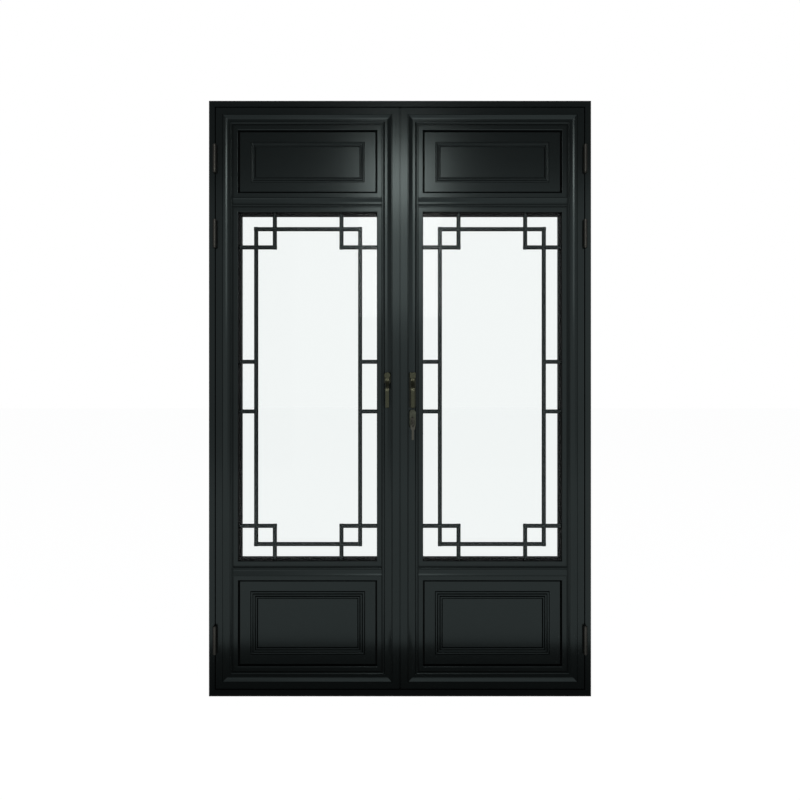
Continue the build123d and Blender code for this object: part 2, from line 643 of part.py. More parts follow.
def lattice(box):
    """The bars in the glass unit: a long rectangle, a square at each corner and short ties to the edge."""
    x0, x1, z0, z1 = box
    half = BAR_WIDTH / 2
    middle = (z0 + z1) / 2
    v = CAVITY_FRONT + BAR_SET_BACK + BAR_THICK / 2
    across = [(z0 + LATTICE_END, x0 + LATTICE_SIDE - half, x1 - LATTICE_SIDE + half),
              (z1 - LATTICE_END, x0 + LATTICE_SIDE - half, x1 - LATTICE_SIDE + half)]
    upright = [(x0 + LATTICE_SIDE, z0 + LATTICE_END - half, z1 - LATTICE_END + half),
               (x1 - LATTICE_SIDE, z0 + LATTICE_END - half, z1 - LATTICE_END + half)]
    for z in (z0 + LATTICE_END_SHORT, z1 - LATTICE_END_SHORT):
        across.append((z, x0, x0 + LATTICE_SIDE_SHORT + half))
        across.append((z, x1 - LATTICE_SIDE_SHORT - half, x1))
    for z in (middle - LATTICE_MIDDLE, middle + LATTICE_MIDDLE):
        across.append((z, x0, x0 + LATTICE_SIDE))
        across.append((z, x1 - LATTICE_SIDE, x1))
    for x in (x0 + LATTICE_SIDE_SHORT, x1 - LATTICE_SIDE_SHORT):
        upright.append((x, z0, z0 + LATTICE_END_SHORT + half))
        upright.append((x, z1 - LATTICE_END_SHORT - half, z1))
    w, t, b = half, BAR_THICK / 2, BAR_BEVEL
    section = Polygon((-w, b - t), (b - w, -t), (w - b, -t), (w, b - t), (w, t - b), (w - b, t), (b - w, t),
                      (-w, t - b), align=None)
    bars = []
    for z, start, end in across:
        plane = Plane(origin=(start, depth(v), z), x_dir=(0, 0, 1), z_dir=(1, 0, 0))
        bars.append(extrude(plane * section, amount=end - start, dir=(1, 0, 0)))
    for x, start, end in upright:
        plane = Plane(origin=(x, depth(v), start), x_dir=(1, 0, 0), z_dir=(0, 0, 1))
        bars.append(extrude(plane * section, amount=end - start, dir=(0, 0, 1)))
    whole = bars[0]
    for bar in bars[1:]:
        whole += bar
    return whole


def ring_section(width, ridges):
    """A flat plinth with rounded ridges on it, each given as its centre and its half width."""
    section = Polygon((0, 0), (width, 0), (width, -RING_PLINTH), (0, -RING_PLINTH), align=None)
    for centre, radius in ridges:
        section += Pos(centre, -RING_PLINTH) * Circle(radius)
    return section & Pos(width / 2, -width) * Rectangle(width, 2 * width)


def panel(box, margins, width, ridges):
    """A leaf panel: its edge under the beads, its raised field, and a ring of ridges between two quirks."""
    body = slab(grow(box, GLASS_LAP), PANEL_EDGE_FRONT, UNIT_BACK)
    field = slab(grow(box, -PANEL_REVEAL), PANEL_FIELD_FRONT, PANEL_EDGE_FRONT)
    rim = field.faces().sort_by(Axis.Y)[0].edges()
    body += chamfer(rim, PANEL_CHAMFER)
    x0, x1, z0, z1 = box
    side, top, bottom = margins
    ring_box = (x0 + side, x1 - side, z0 + bottom, z1 - top)
    ring_hole = grow(ring_box, -width)
    v0 = PANEL_FIELD_FRONT - RING_QUIRK_DEPTH
    v1 = PANEL_FIELD_FRONT + RING_QUIRK_DEPTH
    for outer, inner in ((grow(ring_box, RING_QUIRK_WIDTH), ring_box),
                         (ring_hole, grow(ring_hole, -RING_QUIRK_WIDTH))):
        body -= flat_ring(outer, inner, v0, v1)
    section = Pos(0, PANEL_FIELD_FRONT) * ring_section(width, ridges)
    for bar in mitred_ring(section, ring_box, width):
        body += bar
    return body


def gaskets():
    """One-piece gaskets in front of and behind the glass unit and both panels."""
    rings = []
    for box, front in OPENINGS:
        outer = grow(box, GASKET_WIDTH)
        rings.append(flat_ring(outer, box, front, front + FRONT_GASKET))
        rings.append(flat_ring(outer, box, UNIT_BACK, LIP_FRONT))
    return rings


def make_leaf(name, turn, long_plate):
    """The pieces of one leaf that stay still in it; turn makes the right leaf from the left one."""
    below = LOCK_BELOW if long_plate else GEAR_HALF_HEIGHT
    section = leaf_section()
    unit = grow(GLASS_BOX, GLASS_LAP)
    cleat_back = LEAF_DEPTH - LEAF_WALL - FIT
    cleat_front = GROOVE_BACK + LEAF_WALL + FIT
    upper_margins = (UPPER_RING_SIDE, UPPER_RING_TOP, UPPER_RING_BOTTOM)
    lower_margins = (LOWER_RING_SIDE, LOWER_RING_TOP, LOWER_RING_BOTTOM)
    beads = []
    for box, back in OPENINGS:
        beads += mitred_ring(bead_section(back), grow(box, BEAD_WIDTH), BEAD_WIDTH)
    seal = block(LEAF_X1, -MEETING_SEAL_SPLIT / 2, MEETING_LIP_FRONT + MEETING_LIP_THICK,
                 MEETING_LIP_FRONT + MEETING_LIP_THICK + MEETING_SEAL_DEPTH, LEAF_Z0, LEAF_Z1)
    pieces = {
        "hinge_stile": [hinge_stile()],
        "lock_stile": [lock_stile(below, long_plate)],
        "top_rail": [mitred_bar(section, "top", LEAF_BOX, SIGHT)],
        "bottom_rail": [mitred_bar(section, "bottom", LEAF_BOX, SIGHT)],
        "mid_rails": [mid_rail(LOWER_RAIL_Z), mid_rail(UPPER_RAIL_Z)],
        "corner_cleats": corner_cleats(LEAF_BOX, LEAF_WALL + FIT, LEAF_CLEAT_WIDTH, LEAF_CLEAT_LEG,
                                       cleat_front, cleat_back),
        "mouldings": mouldings(long_plate),
        "beads": beads,
        "upper_panel": [panel(UPPER_BOX, upper_margins, UPPER_RING_WIDTH, UPPER_RIDGES)],
        "lower_panel": [panel(LOWER_BOX, lower_margins, LOWER_RING_WIDTH, LOWER_RIDGES)],
        "gaskets": gaskets(),
        "glass_panes": [slab(unit, PANE_FRONT, CAVITY_FRONT), slab(unit, CAVITY_BACK, UNIT_BACK)],
        "glass_spacer": [flat_ring(grow(GLASS_BOX, SPACER_WIDTH), GLASS_BOX, CAVITY_FRONT, CAVITY_BACK)],
        "lattice": [lattice(GLASS_BOX)],
        "meeting_seal": [seal],
        "handle_plates": handle_plates(long_plate),
        "bolt_gear": [bolt_gear(below, long_plate)],
        "front_lever": [front_lever(SQUARE_HEAD_CORNER if long_plate else ROUND_HEAD_CORNER)],
        "back_lever": [back_lever(SQUARE_HEAD_CORNER if long_plate else ROUND_HEAD_CORNER)],
        "upper_rod": [rod(HANDLE_Z + GEAR_HALF_HEIGHT + FIT, LEAF_Z1 - ROD_END_INSET)],
        "lower_rod": [rod(LEAF_Z0 + ROD_END_INSET, HANDLE_Z - below - FIT)],
    }
    for piece, solids in pieces.items():
        save(f"{name}_{piece}", *[turn(s) for s in solids])


# Handles and bolt gear, drawn for the left leaf

def handle_plate(long_plate, v0, v1, grow_by):
    height = PLATE_LONG if long_plate else PLATE_SHORT
    top = HANDLE_Z + HEAD_WIDTH / 2
    shape = obround(PLATE_WIDTH + 2 * grow_by, height + 2 * grow_by)
    return from_front(shape, HANDLE_X, top - height / 2, v0, v1)


def handle_plates(long_plate):
    """The front and back plates, and beside a lock the two escutcheons round its cylinder."""
    plates = [handle_plate(long_plate, PLATE_FRONT, MOULDING_SEAT, 0),
              handle_plate(long_plate, LEAF_DEPTH, PLATE_BACK, 0)]
    plates = [plate - spindle_hole(PLATE_FRONT - 1, PLATE_BACK + 1, SPINDLE_HOLE_RADIUS) for plate in plates]
    if long_plate:
        shape = obround(ESCUTCHEON_WIDTH, ESCUTCHEON_HEIGHT)
        for v0, v1 in ((MOULDING_SEAT - ESCUTCHEON_THICK, MOULDING_SEAT),
                       (LEAF_DEPTH, LEAF_DEPTH + ESCUTCHEON_THICK)):
            plate = from_front(shape, HANDLE_X, ESCUTCHEON_Z, v0, v1)
            plates.append(plate - key_hole(v0 - 1, v1 + 1, FIT))
    return plates


def bolt_gear(below, has_lock):
    gear = gear_case(below, 0) - spindle_hole(0, LEAF_DEPTH, SPINDLE_HOLE_RADIUS)
    if has_lock:
        gear -= key_hole(0, LEAF_DEPTH, FIT)
    return gear


def rod(z0, z1):
    """A flat bolt rod that slides in the meeting edge's groove."""
    x1 = LEAF_X1 - ROD_EDGE
    return block(x1 - ROD_THICK, x1, GROOVE_FRONT + FIT, GROOVE_BACK - FIT, z0, z1)


def lever_body(corner):
    """Handle head and cranked lever; the plate's face is y = 0 and the lever stands out to -Y."""
    outline = Pos(0, (HEAD_WIDTH / 2 - HEAD_BELOW) / 2) * RectangleRounded(
        HEAD_WIDTH, HEAD_WIDTH / 2 + HEAD_BELOW, min(corner, HEAD_LOWER_CORNER))
    head = extrude(Plane.XZ * outline, amount=HEAD_DEPTH)
    front_edges = head.faces().sort_by(Axis.Y)[0].edges()
    head = Pos(0, -FIT, 0) * fillet(front_edges, HEAD_EDGE)
    front = -LEVER_REACH
    back = LEVER_THICK - LEVER_REACH
    root = LEVER_ROOT_RISE - HEAD_BELOW
    bend = -LEVER_BEND
    inner_bend = bend - LEVER_BEND_LAG
    tip = -LEVER_LENGTH
    tip_start = tip + LEVER_TIP
    outer = Spline((-LEVER_ROOT_FRONT, root), (front, bend), tangents=[(0, -1), (0, -1)])
    inner = Spline((back, inner_bend), (-LEVER_ROOT_BACK, root), tangents=[(0, 1), (0, 1)])
    end = ThreePointArc((front, tip_start), ((front + back) / 2, tip), (back, tip_start))
    side = make_face(Curve() + [outer, Line((front, bend), (front, tip_start)), end,
                                Line((back, tip_start), (back, inner_bend)), inner,
                                Line((-LEVER_ROOT_BACK, root), (-LEVER_ROOT_FRONT, root))])
    lever = extrude(Plane.YZ * side, amount=LEVER_WIDTH / 2, both=True)
    return head + lever


def front_lever(corner):
    """Front lever with the square spindle that it carries through the leaf."""
    body = Pos(HANDLE_X, depth(PLATE_FRONT), HANDLE_Z) * lever_body(corner)
    half = SPINDLE / 2
    spindle = block(HANDLE_X - half, HANDLE_X + half, PLATE_FRONT - 2, PLATE_BACK + HEAD_DEPTH / 2,
                    HANDLE_Z - half, HANDLE_Z + half)
    return body + spindle


def back_lever(corner):
    """Back lever, the front one turned to face the back, with a socket for the spindle."""
    body = Pos(HANDLE_X, depth(PLATE_BACK), HANDLE_Z) * mirror(lever_body(corner), about=Plane.XZ)
    half = SPINDLE / 2 + SPINDLE_FIT
    socket = block(HANDLE_X - half, HANDLE_X + half, LEAF_DEPTH, PLATE_BACK + HEAD_DEPTH / 2 + 1,
                   HANDLE_Z - half, HANDLE_Z + half)
    return body - socket


# Lock on the right leaf, drawn on the left and mirrored with it

def key_plane(x, v, z):
    """A plane seen from the leaf's side: x runs out to the front and y up."""
    return Plane(origin=(x, depth(v), z), x_dir=(0, -1, 0), z_dir=(-1, 0, 0))


def cylinder_and_plug(face, back, blade_length):
    """The profile cylinder and the plug that turns in it with the key."""
    cylinder = key_hole(face, back, 0)
    bore = Circle(PLUG_RADIUS + PIN_CLEARANCE)
    cylinder -= from_front(bore, HANDLE_X, KEY_Z, face - 1, face + PLUG_LENGTH)
    plug = from_front(Circle(PLUG_RADIUS), HANDLE_X, KEY_Z, face, face + PLUG_LENGTH - FIT)
    keyway = Rectangle(KEY_THICK + 2 * KEYWAY_FIT, KEY_BLADE + 2 * KEYWAY_FIT)
    plug -= from_front(keyway, HANDLE_X, KEY_Z, face - 1, face + blade_length + FIT)
    return cylinder, plug


def make_key(bow_in, blade_end):
    """The key in the cylinder: a flat bow edge-on to the front, and its blade."""
    key = block(HANDLE_X - KEY_THICK / 2, HANDLE_X + KEY_THICK / 2, bow_in - KEY_LAP, blade_end,
                KEY_Z - KEY_BLADE / 2, KEY_Z + KEY_BLADE / 2)
    bow = Pos(KEY_BOW_LENGTH / 2, 0) * RectangleRounded(KEY_BOW_LENGTH, KEY_BOW, KEY_BOW / 3)
    bow -= Pos(KEY_BOW_LENGTH - KEY_HOLE_INSET, 0) * Circle(KEY_HOLE_RADIUS)
    return key + extrude(key_plane(HANDLE_X, bow_in, KEY_Z) * bow, amount=KEY_THICK / 2, both=True)


def ring_and_spare(hole_v):
    """The wire ring through the key's bow, and the spare key that hangs from the ring."""
    wire_top = KEY_Z - KEY_HOLE_RADIUS + RING_WIRE + RING_SLACK
    wire = revolve(Plane.XZ * Pos(RING_RADIUS, 0) * RegularPolygon(RING_WIRE, RING_WIRE_SIDES))
    ring = Pos(HANDLE_X, depth(hole_v), wire_top - RING_RADIUS) * Rot(0, 0, RING_TURN) * Rot(90, 0, 0) * wire
    hole_z = wire_top - 2 * RING_RADIUS + RING_WIRE + RING_SLACK - KEY_HOLE_RADIUS
    bow_top = hole_z + KEY_HOLE_RADIUS + SPARE_RIM
    bow_bottom = bow_top - SPARE_BOW_HEIGHT
    spare = Pos(0, (bow_top + bow_bottom) / 2) * RectangleRounded(
        SPARE_BOW_WIDTH, SPARE_BOW_HEIGHT, SPARE_BOW_WIDTH / 3)
    spare += Pos(0, bow_bottom + SPARE_LAP - SPARE_BLADE / 2) * Rectangle(SPARE_BLADE_WIDTH, SPARE_BLADE)
    spare -= Pos(0, hole_z) * Circle(KEY_HOLE_RADIUS)
    return ring, from_front(spare, HANDLE_X, 0, hole_v - KEY_THICK / 2, hole_v + KEY_THICK / 2)


def make_lock():
    face = MOULDING_SEAT - ESCUTCHEON_THICK - CYLINDER_PROUD
    back = LEAF_DEPTH + ESCUTCHEON_THICK + CYLINDER_PROUD
    blade_length = PLUG_LENGTH - KEYWAY_END
    bow_in = face - KEY_SHANK
    cylinder, plug = cylinder_and_plug(face, back, blade_length)
    ring, spare = ring_and_spare(bow_in - KEY_BOW_LENGTH + KEY_HOLE_INSET)
    save("right_cylinder", mirrored(cylinder))
    save("right_cylinder_plug", mirrored(plug))
    save("right_key", mirrored(make_key(bow_in, face + blade_length)))
    save("spare_key_on_ring", mirrored(ring), mirrored(spare))


os.makedirs("parts", exist_ok=True)
make_frame()
make_frame_fittings()
make_hinges()
make_leaf("left", lambda part: part, False)
make_leaf("right", mirrored, True)
make_lock()
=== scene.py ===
import json
import math
import random

import bmesh
import bpy
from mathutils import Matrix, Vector


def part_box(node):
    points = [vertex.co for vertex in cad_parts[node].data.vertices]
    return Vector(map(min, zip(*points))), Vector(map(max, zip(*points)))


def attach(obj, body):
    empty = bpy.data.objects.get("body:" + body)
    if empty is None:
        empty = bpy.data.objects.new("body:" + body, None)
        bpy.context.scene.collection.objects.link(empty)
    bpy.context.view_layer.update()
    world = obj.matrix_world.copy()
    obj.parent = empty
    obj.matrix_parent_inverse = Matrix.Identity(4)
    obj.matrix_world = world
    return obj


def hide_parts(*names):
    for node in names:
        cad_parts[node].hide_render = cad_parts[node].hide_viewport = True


# Looks for the pair of swing doors: near-black coated metal, clear glass units and antique bronze handles.
# Lengths are in metres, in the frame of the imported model: the front faces -Y and the sill stands on z = 0.
# Lengths of panels and joints are in millimetres, and v counts back from the front plane.

MM = 0.001
FRONT_Y = -0.055

# Colours

WHITE = (1.0, 1.0, 1.0)
COAT = (0.0070, 0.0088, 0.0087)
COAT_LIGHTER = (0.0092, 0.0114, 0.0112)
COAT_SHEEN = (0.80, 1.0, 1.0)
RUBBER = (0.006, 0.006, 0.006)
# Near-black of the strips that paint the shade at the bottom of the grooves, and the panels' gaskets' own
# black
SHADE_AND_GASKET_BLACK = (0.0015, 0.0018, 0.0018)
HINGE = (0.085, 0.084, 0.074)
HINGE_WORN = (0.050, 0.050, 0.045)
BRONZE = (0.086, 0.090, 0.056)
BRONZE_DARK = (0.030, 0.032, 0.022)
PLATE_METAL = (0.020, 0.022, 0.019)
ESCUTCHEON_METAL = (0.095, 0.104, 0.078)
KEY_METAL = (0.105, 0.105, 0.088)
KEY_WORN = (0.050, 0.049, 0.040)
STEEL = (0.35, 0.35, 0.35)
ALUMINIUM = (0.5, 0.5, 0.5)
PLUG = (0.30, 0.25, 0.14)
GLASS_TINT = (0.974, 0.983, 0.981)

# Surfaces

SPECULAR = 0.32
DRIFT_SCALE = 3.0
DRIFT_DETAIL = 3.0
GRAIN_DETAIL = 2.0
NOISE_LOW = 0.3
NOISE_HIGH = 0.7
RELIEF = 0.1 * MM
PATINA_SCALE = 90.0
GLASS_GLOSS = 0.02
GLASS_IOR = 1.18
PLATE_BOTTOM = 1090 * MM

# Sockets of a Mix node that are set to colours

MIX_FACTOR = 0
MIX_FIRST = 6
MIX_SECOND = 7
MIX_RESULT = 2

# Leaf, panels and joints, in millimetres on the left leaf

LEAF_BOX = (-699.0, -4.0, 29.0, 2234.0)
LEAF_FLAT = 25.0
MOULDING_ZONE = 41.0
MOULDING_SEAT = 5.0
STRIP_GROOVE = 2.2
MID_RAIL_FACE = 38.0
RAIL_CENTRES = (475.6, 1875.3)
RAIL_X = (LEAF_BOX[0] + LEAF_FLAT + MOULDING_ZONE, LEAF_BOX[1] - LEAF_FLAT - MOULDING_ZONE)
# Side gap and depths of the strips that paint the shade at the bottom of the grooves
SHADE_STRIP_SIDE_GAP = 0.1
SHADE_STRIP_BACK = MOULDING_SEAT - 0.05
SHADE_STRIP_FRONT = SHADE_STRIP_BACK - 0.75
PANEL_LAP = 14.0
PANEL_EDGE = 21.5
PANEL_BACK = 38.5
REVEAL = 4.5
FIELD = 8.5
FIELD_CHAMFER = 1.5
GASKET_SIDE_GAP = 0.2
GASKET_BACK = PANEL_EDGE - 0.1
GASKET_FRONT = PANEL_EDGE - 0.9
BAND_STEPS = 7
BAND_FLATNESS = 0.4

# Distance of each ring from the opening's edge: at the sides, at the top and at the bottom

UPPER_MARGINS = (47.0, 42.5, 41.5)
LOWER_MARGINS = (45.0, 42.0, 41.0)

# Brush seal between the leaves

PILE_SEED = 7
PILE_BOTTOM = 30 * MM
PILE_TOP = 2233 * MM
PILE_ROOT_X = -4 * MM
PILE_TIP_X = 3.4 * MM
PILE_TIP_SPREAD = 0.5
PILE_LEAN = 0.15
PILE_PITCH = 1.1 * MM
PILE_WIDTH = 1.5 * MM
PILE_DEPTHS = (3.0 * MM, 3.9 * MM, 4.8 * MM)

# Camera, light and floor

CAMERA_DISTANCE = 2.21
CAMERA_HEIGHT = 1.174
CAMERA_CENTRE_X = 0.0
FIELD_WIDTH = 3.036
SENSOR_WIDTH = 36.0
SHIFT_UP = -0.01625
WORLD_LEVEL = 0.09
WORLD_TINT = (0.93, 0.97, 1.0)
FLOOR_GLOW = 0.955
FLOOR_BASE = 0.35
FLOOR_REACH = 30.0
FORWARD = (0.0, 1.0, 0.0)
UPWARD = (0.0, 0.0, 1.0)
WALL_Y = -6.0
WALL_MIDDLE = 2.0
WALL_TALL = 4.0
HIGHLIGHT_Y = -5.9
BOUNCE_PLACE = (0.4, -3.2, 0.02)

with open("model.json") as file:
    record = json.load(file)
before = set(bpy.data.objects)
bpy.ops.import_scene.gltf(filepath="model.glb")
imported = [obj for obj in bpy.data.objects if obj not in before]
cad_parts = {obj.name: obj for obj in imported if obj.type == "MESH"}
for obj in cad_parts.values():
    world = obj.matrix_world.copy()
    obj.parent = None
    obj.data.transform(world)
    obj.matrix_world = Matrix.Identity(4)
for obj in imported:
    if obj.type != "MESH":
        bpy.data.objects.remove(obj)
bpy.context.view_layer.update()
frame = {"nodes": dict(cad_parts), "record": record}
nodes = frame["nodes"]


def new_material(name):
    """A new node material, with its tree and its Principled shader."""
    material = bpy.data.materials.new(name)
    material.use_nodes = True
    tree = material.node_tree
    return material, tree, tree.nodes["Principled BSDF"]


def object_noise(tree, scale, detail):
    """Noise that stays on the piece, in the row frame's metres."""
    place = tree.nodes.new("ShaderNodeTexCoord")
    noise = tree.nodes.new("ShaderNodeTexNoise")
    noise.inputs["Scale"].default_value = scale
    noise.inputs["Detail"].default_value = detail
    tree.links.new(place.outputs["Object"], noise.inputs["Vector"])
    return noise.outputs["Fac"]


def colour_mix(tree, factor):
    mix = tree.nodes.new("ShaderNodeMix")
    mix.data_type = "RGBA"
    tree.links.new(factor, mix.inputs[MIX_FACTOR])
    return mix


def mixed(tree, factor, first, second):
    """Two plain colours mixed by a factor."""
    mix = colour_mix(tree, factor)
    mix.inputs[MIX_FIRST].default_value = (*first, 1.0)
    mix.inputs[MIX_SECOND].default_value = (*second, 1.0)
    return mix.outputs[MIX_RESULT]


def spread(tree, value, low, high):
    """The noise value stretched over a range, such as one of roughness."""
    remap = tree.nodes.new("ShaderNodeMapRange")
    remap.inputs["From Min"].default_value = NOISE_LOW
    remap.inputs["From Max"].default_value = NOISE_HIGH
    remap.inputs["To Min"].default_value = low
    remap.inputs["To Max"].default_value = high
    tree.links.new(value, remap.inputs["Value"])
    return remap.outputs["Result"]


def grained(name, first, second, metallic, rough, grain, bump, sheen=WHITE):
    """Metal, coat or rubber: slow colour drift, and a fine grain in its gloss and relief."""
    material, tree, shader = new_material(name)
    slow = object_noise(tree, DRIFT_SCALE, DRIFT_DETAIL)
    fine = object_noise(tree, grain, GRAIN_DETAIL)
    tree.links.new(mixed(tree, slow, first, second), shader.inputs["Base Color"])
    tree.links.new(spread(tree, fine, *rough), shader.inputs["Roughness"])
    shader.inputs["Metallic"].default_value = metallic
    shader.inputs["Specular IOR Level"].default_value = SPECULAR
    shader.inputs["Specular Tint"].default_value = (*sheen, 1.0)
    relief = tree.nodes.new("ShaderNodeBump")
    relief.inputs["Strength"].default_value = bump
    relief.inputs["Distance"].default_value = RELIEF
    tree.links.new(fine, relief.inputs["Height"])
    tree.links.new(relief.outputs["Normal"], shader.inputs["Normal"])
    return material


def brighter_below(material, height, first, second):
    """Another colour below a height, for the escutcheon that shares a node with the handle plates."""
    tree = material.node_tree
    place = tree.nodes.new("ShaderNodeTexCoord")
    split = tree.nodes.new("ShaderNodeSeparateXYZ")
    below = tree.nodes.new("ShaderNodeMath")
    below.operation = "LESS_THAN"
    below.inputs[1].default_value = height
    tree.links.new(place.outputs["Object"], split.inputs["Vector"])
    tree.links.new(split.outputs["Z"], below.inputs[0])
    colour = tree.nodes["Principled BSDF"].inputs["Base Color"]
    upper = colour.links[0].from_socket
    patina = object_noise(tree, PATINA_SCALE, DRIFT_DETAIL)
    lower = mixed(tree, patina, first, second)
    choose = colour_mix(tree, below.outputs["Value"])
    tree.links.new(upper, choose.inputs[MIX_FIRST])
    tree.links.new(lower, choose.inputs[MIX_SECOND])
    tree.links.new(choose.outputs[MIX_RESULT], colour)


def glass_material():
    """Thin clear float glass: straight through, with a weak reflection that grows at grazing angles."""
    material, tree, shader = new_material("clear_glass")
    tree.nodes.remove(shader)
    clear = tree.nodes.new("ShaderNodeBsdfTransparent")
    clear.inputs["Color"].default_value = (*GLASS_TINT, 1.0)
    gloss = tree.nodes.new("ShaderNodeBsdfGlossy")
    gloss.inputs["Roughness"].default_value = GLASS_GLOSS
    fresnel = tree.nodes.new("ShaderNodeFresnel")
    fresnel.inputs["IOR"].default_value = GLASS_IOR
    mix = tree.nodes.new("ShaderNodeMixShader")
    tree.links.new(fresnel.outputs["Fac"], mix.inputs["Fac"])
    tree.links.new(clear.outputs["BSDF"], mix.inputs[1])
    tree.links.new(gloss.outputs["BSDF"], mix.inputs[2])
    tree.links.new(mix.outputs["Shader"], tree.nodes["Material Output"].inputs["Surface"])
    return material


def mesh_object(name, points, faces, finish):
    """An object at the origin, with its place in its mesh."""
    mesh = bpy.data.meshes.new(name)
    mesh.from_pydata(points, [], faces)
    mesh.materials.append(finish)
    made = bpy.data.objects.new(name, mesh)
    bpy.context.scene.collection.objects.link(made)
    return made


def turn_outward(mesh):
    """Face normals made to agree, and to point out of a closed shell."""
    shell = bmesh.new()
    shell.from_mesh(mesh)
    bmesh.ops.recalc_face_normals(shell, faces=shell.faces)
    shell.to_mesh(mesh)
    shell.free()


def leaf_piece(name, points, faces, finish, body):
    """A closed piece that moves with its leaf."""
    made = mesh_object(name, points, faces, finish)
    turn_outward(made.data)
    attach(made, body)
    return made


def band(start, width, height):
    """A band of a ring, rounded at its edges and nearly flat on top: (distance inward, height)."""
    points = []
    for step in range(BAND_STEPS + 1):
        turn = math.pi * step / BAND_STEPS
        inward = start + width * (1 - math.cos(turn)) / 2
        points.append((inward, height * max(math.sin(turn), 0.0) ** BAND_FLATNESS))
    return points


def groove(start, width, deep):
    """A V-shaped groove: (distance inward, height)."""
    return [(start, 0.0), (start + width / 2, -deep), (start + width, 0.0)]


def ring_profile(*stretches):
    """Grooves and bands side by side, each with its width and its depth or height."""
    points = []
    start = 0.0
    for shape, width, size in stretches:
        points += shape(start, width, size)
        start += width
    return points


UPPER_RING = ring_profile((groove, 1.6, 2.4), (band, 4.8, 1.6), (groove, 1.0, 1.4), (band, 5.0, 2.8),
                          (groove, 1.0, 1.4), (band, 4.4, 3.6), (groove, 1.6, 2.4))
LOWER_RING = ring_profile((groove, 2.6, 3.0), (band, 6.6, 3.0), (groove, 2.0, 2.2), (band, 7.2, 4.2),
                          (groove, 2.0, 2.2), (band, 6.0, 4.6), (groove, 3.0, 3.0))


def uneven(box, side, top, bottom, v):
    """The box (x0, x1, z0, z1) drawn in by three margins, at depth v."""
    x0, x1, z0, z1 = box
    return (x0 + side, x1 - side, z0 + bottom, z1 - top, v)


def even(box, by, v):
    return uneven(box, by, by, by, v)


def loop_corners(loop, side):
    """The four corners in metres. side is -1 on the left leaf and 1 on the right, which mirrors it."""
    x0, x1, z0, z1, v = loop
    y = FRONT_Y + v * MM
    return [(-side * x * MM, y, z * MM) for x, z in ((x0, z0), (x1, z0), (x1, z1), (x0, z1))]


def add_strip(points, faces, loops, side):
    """Strips between each rectangle and the next, with mitred corners."""
    start = len(points)
    for loop in loops:
        points.extend(loop_corners(loop, side))
    for row in range(len(loops) - 1):
        for corner in range(4):
            a = start + 4 * row + corner
            b = start + 4 * row + (corner + 1) % 4
            faces.append((a, b, b + 4, a + 4))
    return start


def add_frame(points, faces, box, near, far, front, back, side):
    """A mitred strip with a rectangular section, between two insets from the box."""
    section = ((near, back), (near, front), (far, front), (far, back), (near, back))
    add_strip(points, faces, [even(box, inset, v) for inset, v in section], side)


def add_bar(points, faces, x_range, z_range, side):
    """A straight strip along a rail, closed on all six sides."""
    back = (*x_range, *z_range, SHADE_STRIP_BACK)
    front = (*x_range, *z_range, SHADE_STRIP_FRONT)
    start = add_strip(points, faces, (back, front), side)
    faces.append((start, start + 1, start + 2, start + 3))
    faces.append((start + 4, start + 5, start + 6, start + 7))


def panel_opening(node):
    """The opening that the panel fills, in millimetres on the left leaf, from the panel's own box."""
    low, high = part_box(node)
    x0, x1 = sorted((-abs(low[0]), -abs(high[0])))
    return (x0 / MM + PANEL_LAP, x1 / MM - PANEL_LAP, low[2] / MM + PANEL_LAP, high[2] / MM - PANEL_LAP)


def fine_panel(node, body, side, margins, ring):
    """The panel with its ring, from the back: edge, reveal, chamfer, field, ring and inner field."""
    box = panel_opening(node)
    loops = [
        even(box, -PANEL_LAP, PANEL_BACK),
        even(box, -PANEL_LAP, PANEL_EDGE),
        even(box, REVEAL, PANEL_EDGE),
        even(box, REVEAL, FIELD + FIELD_CHAMFER),
        even(box, REVEAL + FIELD_CHAMFER, FIELD),
    ]
    across, top, bottom = margins
    for inward, height in ring:
        loops.append(uneven(box, across + inward, top + inward, bottom + inward, FIELD - height))
    points = []
    faces = []
    add_strip(points, faces, loops, side)
    last = len(points)
    faces.append((0, 1, 2, 3))
    faces.append((last - 4, last - 3, last - 2, last - 1))
    piece = leaf_piece(f"fine_{node}", points, faces, coat, body)
    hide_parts(node)
    return box


def groove_sides(start):
    """The painted shade strip at the bottom of a groove, a little narrower than the groove."""
    return (start + SHADE_STRIP_SIDE_GAP, start + STRIP_GROOVE - SHADE_STRIP_SIDE_GAP)


def shade_strips_and_gaskets(body, name, side, boxes):
    """Near-black strips at the bottom of the moulding's and the rails' grooves, which paint the shade there,
    and the real gaskets in the panels' reveals.
    """
    points = []
    faces = []
    for start in (LEAF_FLAT, LEAF_FLAT + MOULDING_ZONE - STRIP_GROOVE):
        add_frame(points, faces, LEAF_BOX, *groove_sides(start), SHADE_STRIP_FRONT, SHADE_STRIP_BACK, side)
    for box in boxes:
        near, far = GASKET_SIDE_GAP, REVEAL - GASKET_SIDE_GAP
        add_frame(points, faces, box, near, far, GASKET_FRONT, GASKET_BACK, side)
    low, high = groove_sides(MID_RAIL_FACE / 2 - STRIP_GROOVE)
    for z in RAIL_CENTRES:
        add_bar(points, faces, RAIL_X, (z + low, z + high), side)
        add_bar(points, faces, RAIL_X, (z - high, z - low), side)
    leaf_piece(name, points, faces, shade_and_gasket_finish, body)


def fine_leaf(name, side):
    """Both panels, the strips of painted shade in the grooves and the gaskets of one leaf."""
    body = f"{name}_leaf"
    upper = fine_panel(f"{name}_upper_panel", body, side, UPPER_MARGINS, UPPER_RING)
    lower = fine_panel(f"{name}_lower_panel", body, side, LOWER_MARGINS, LOWER_RING)
    shade_strips_and_gaskets(body, f"{name}_shade_strips_and_gaskets", side, (upper, lower))


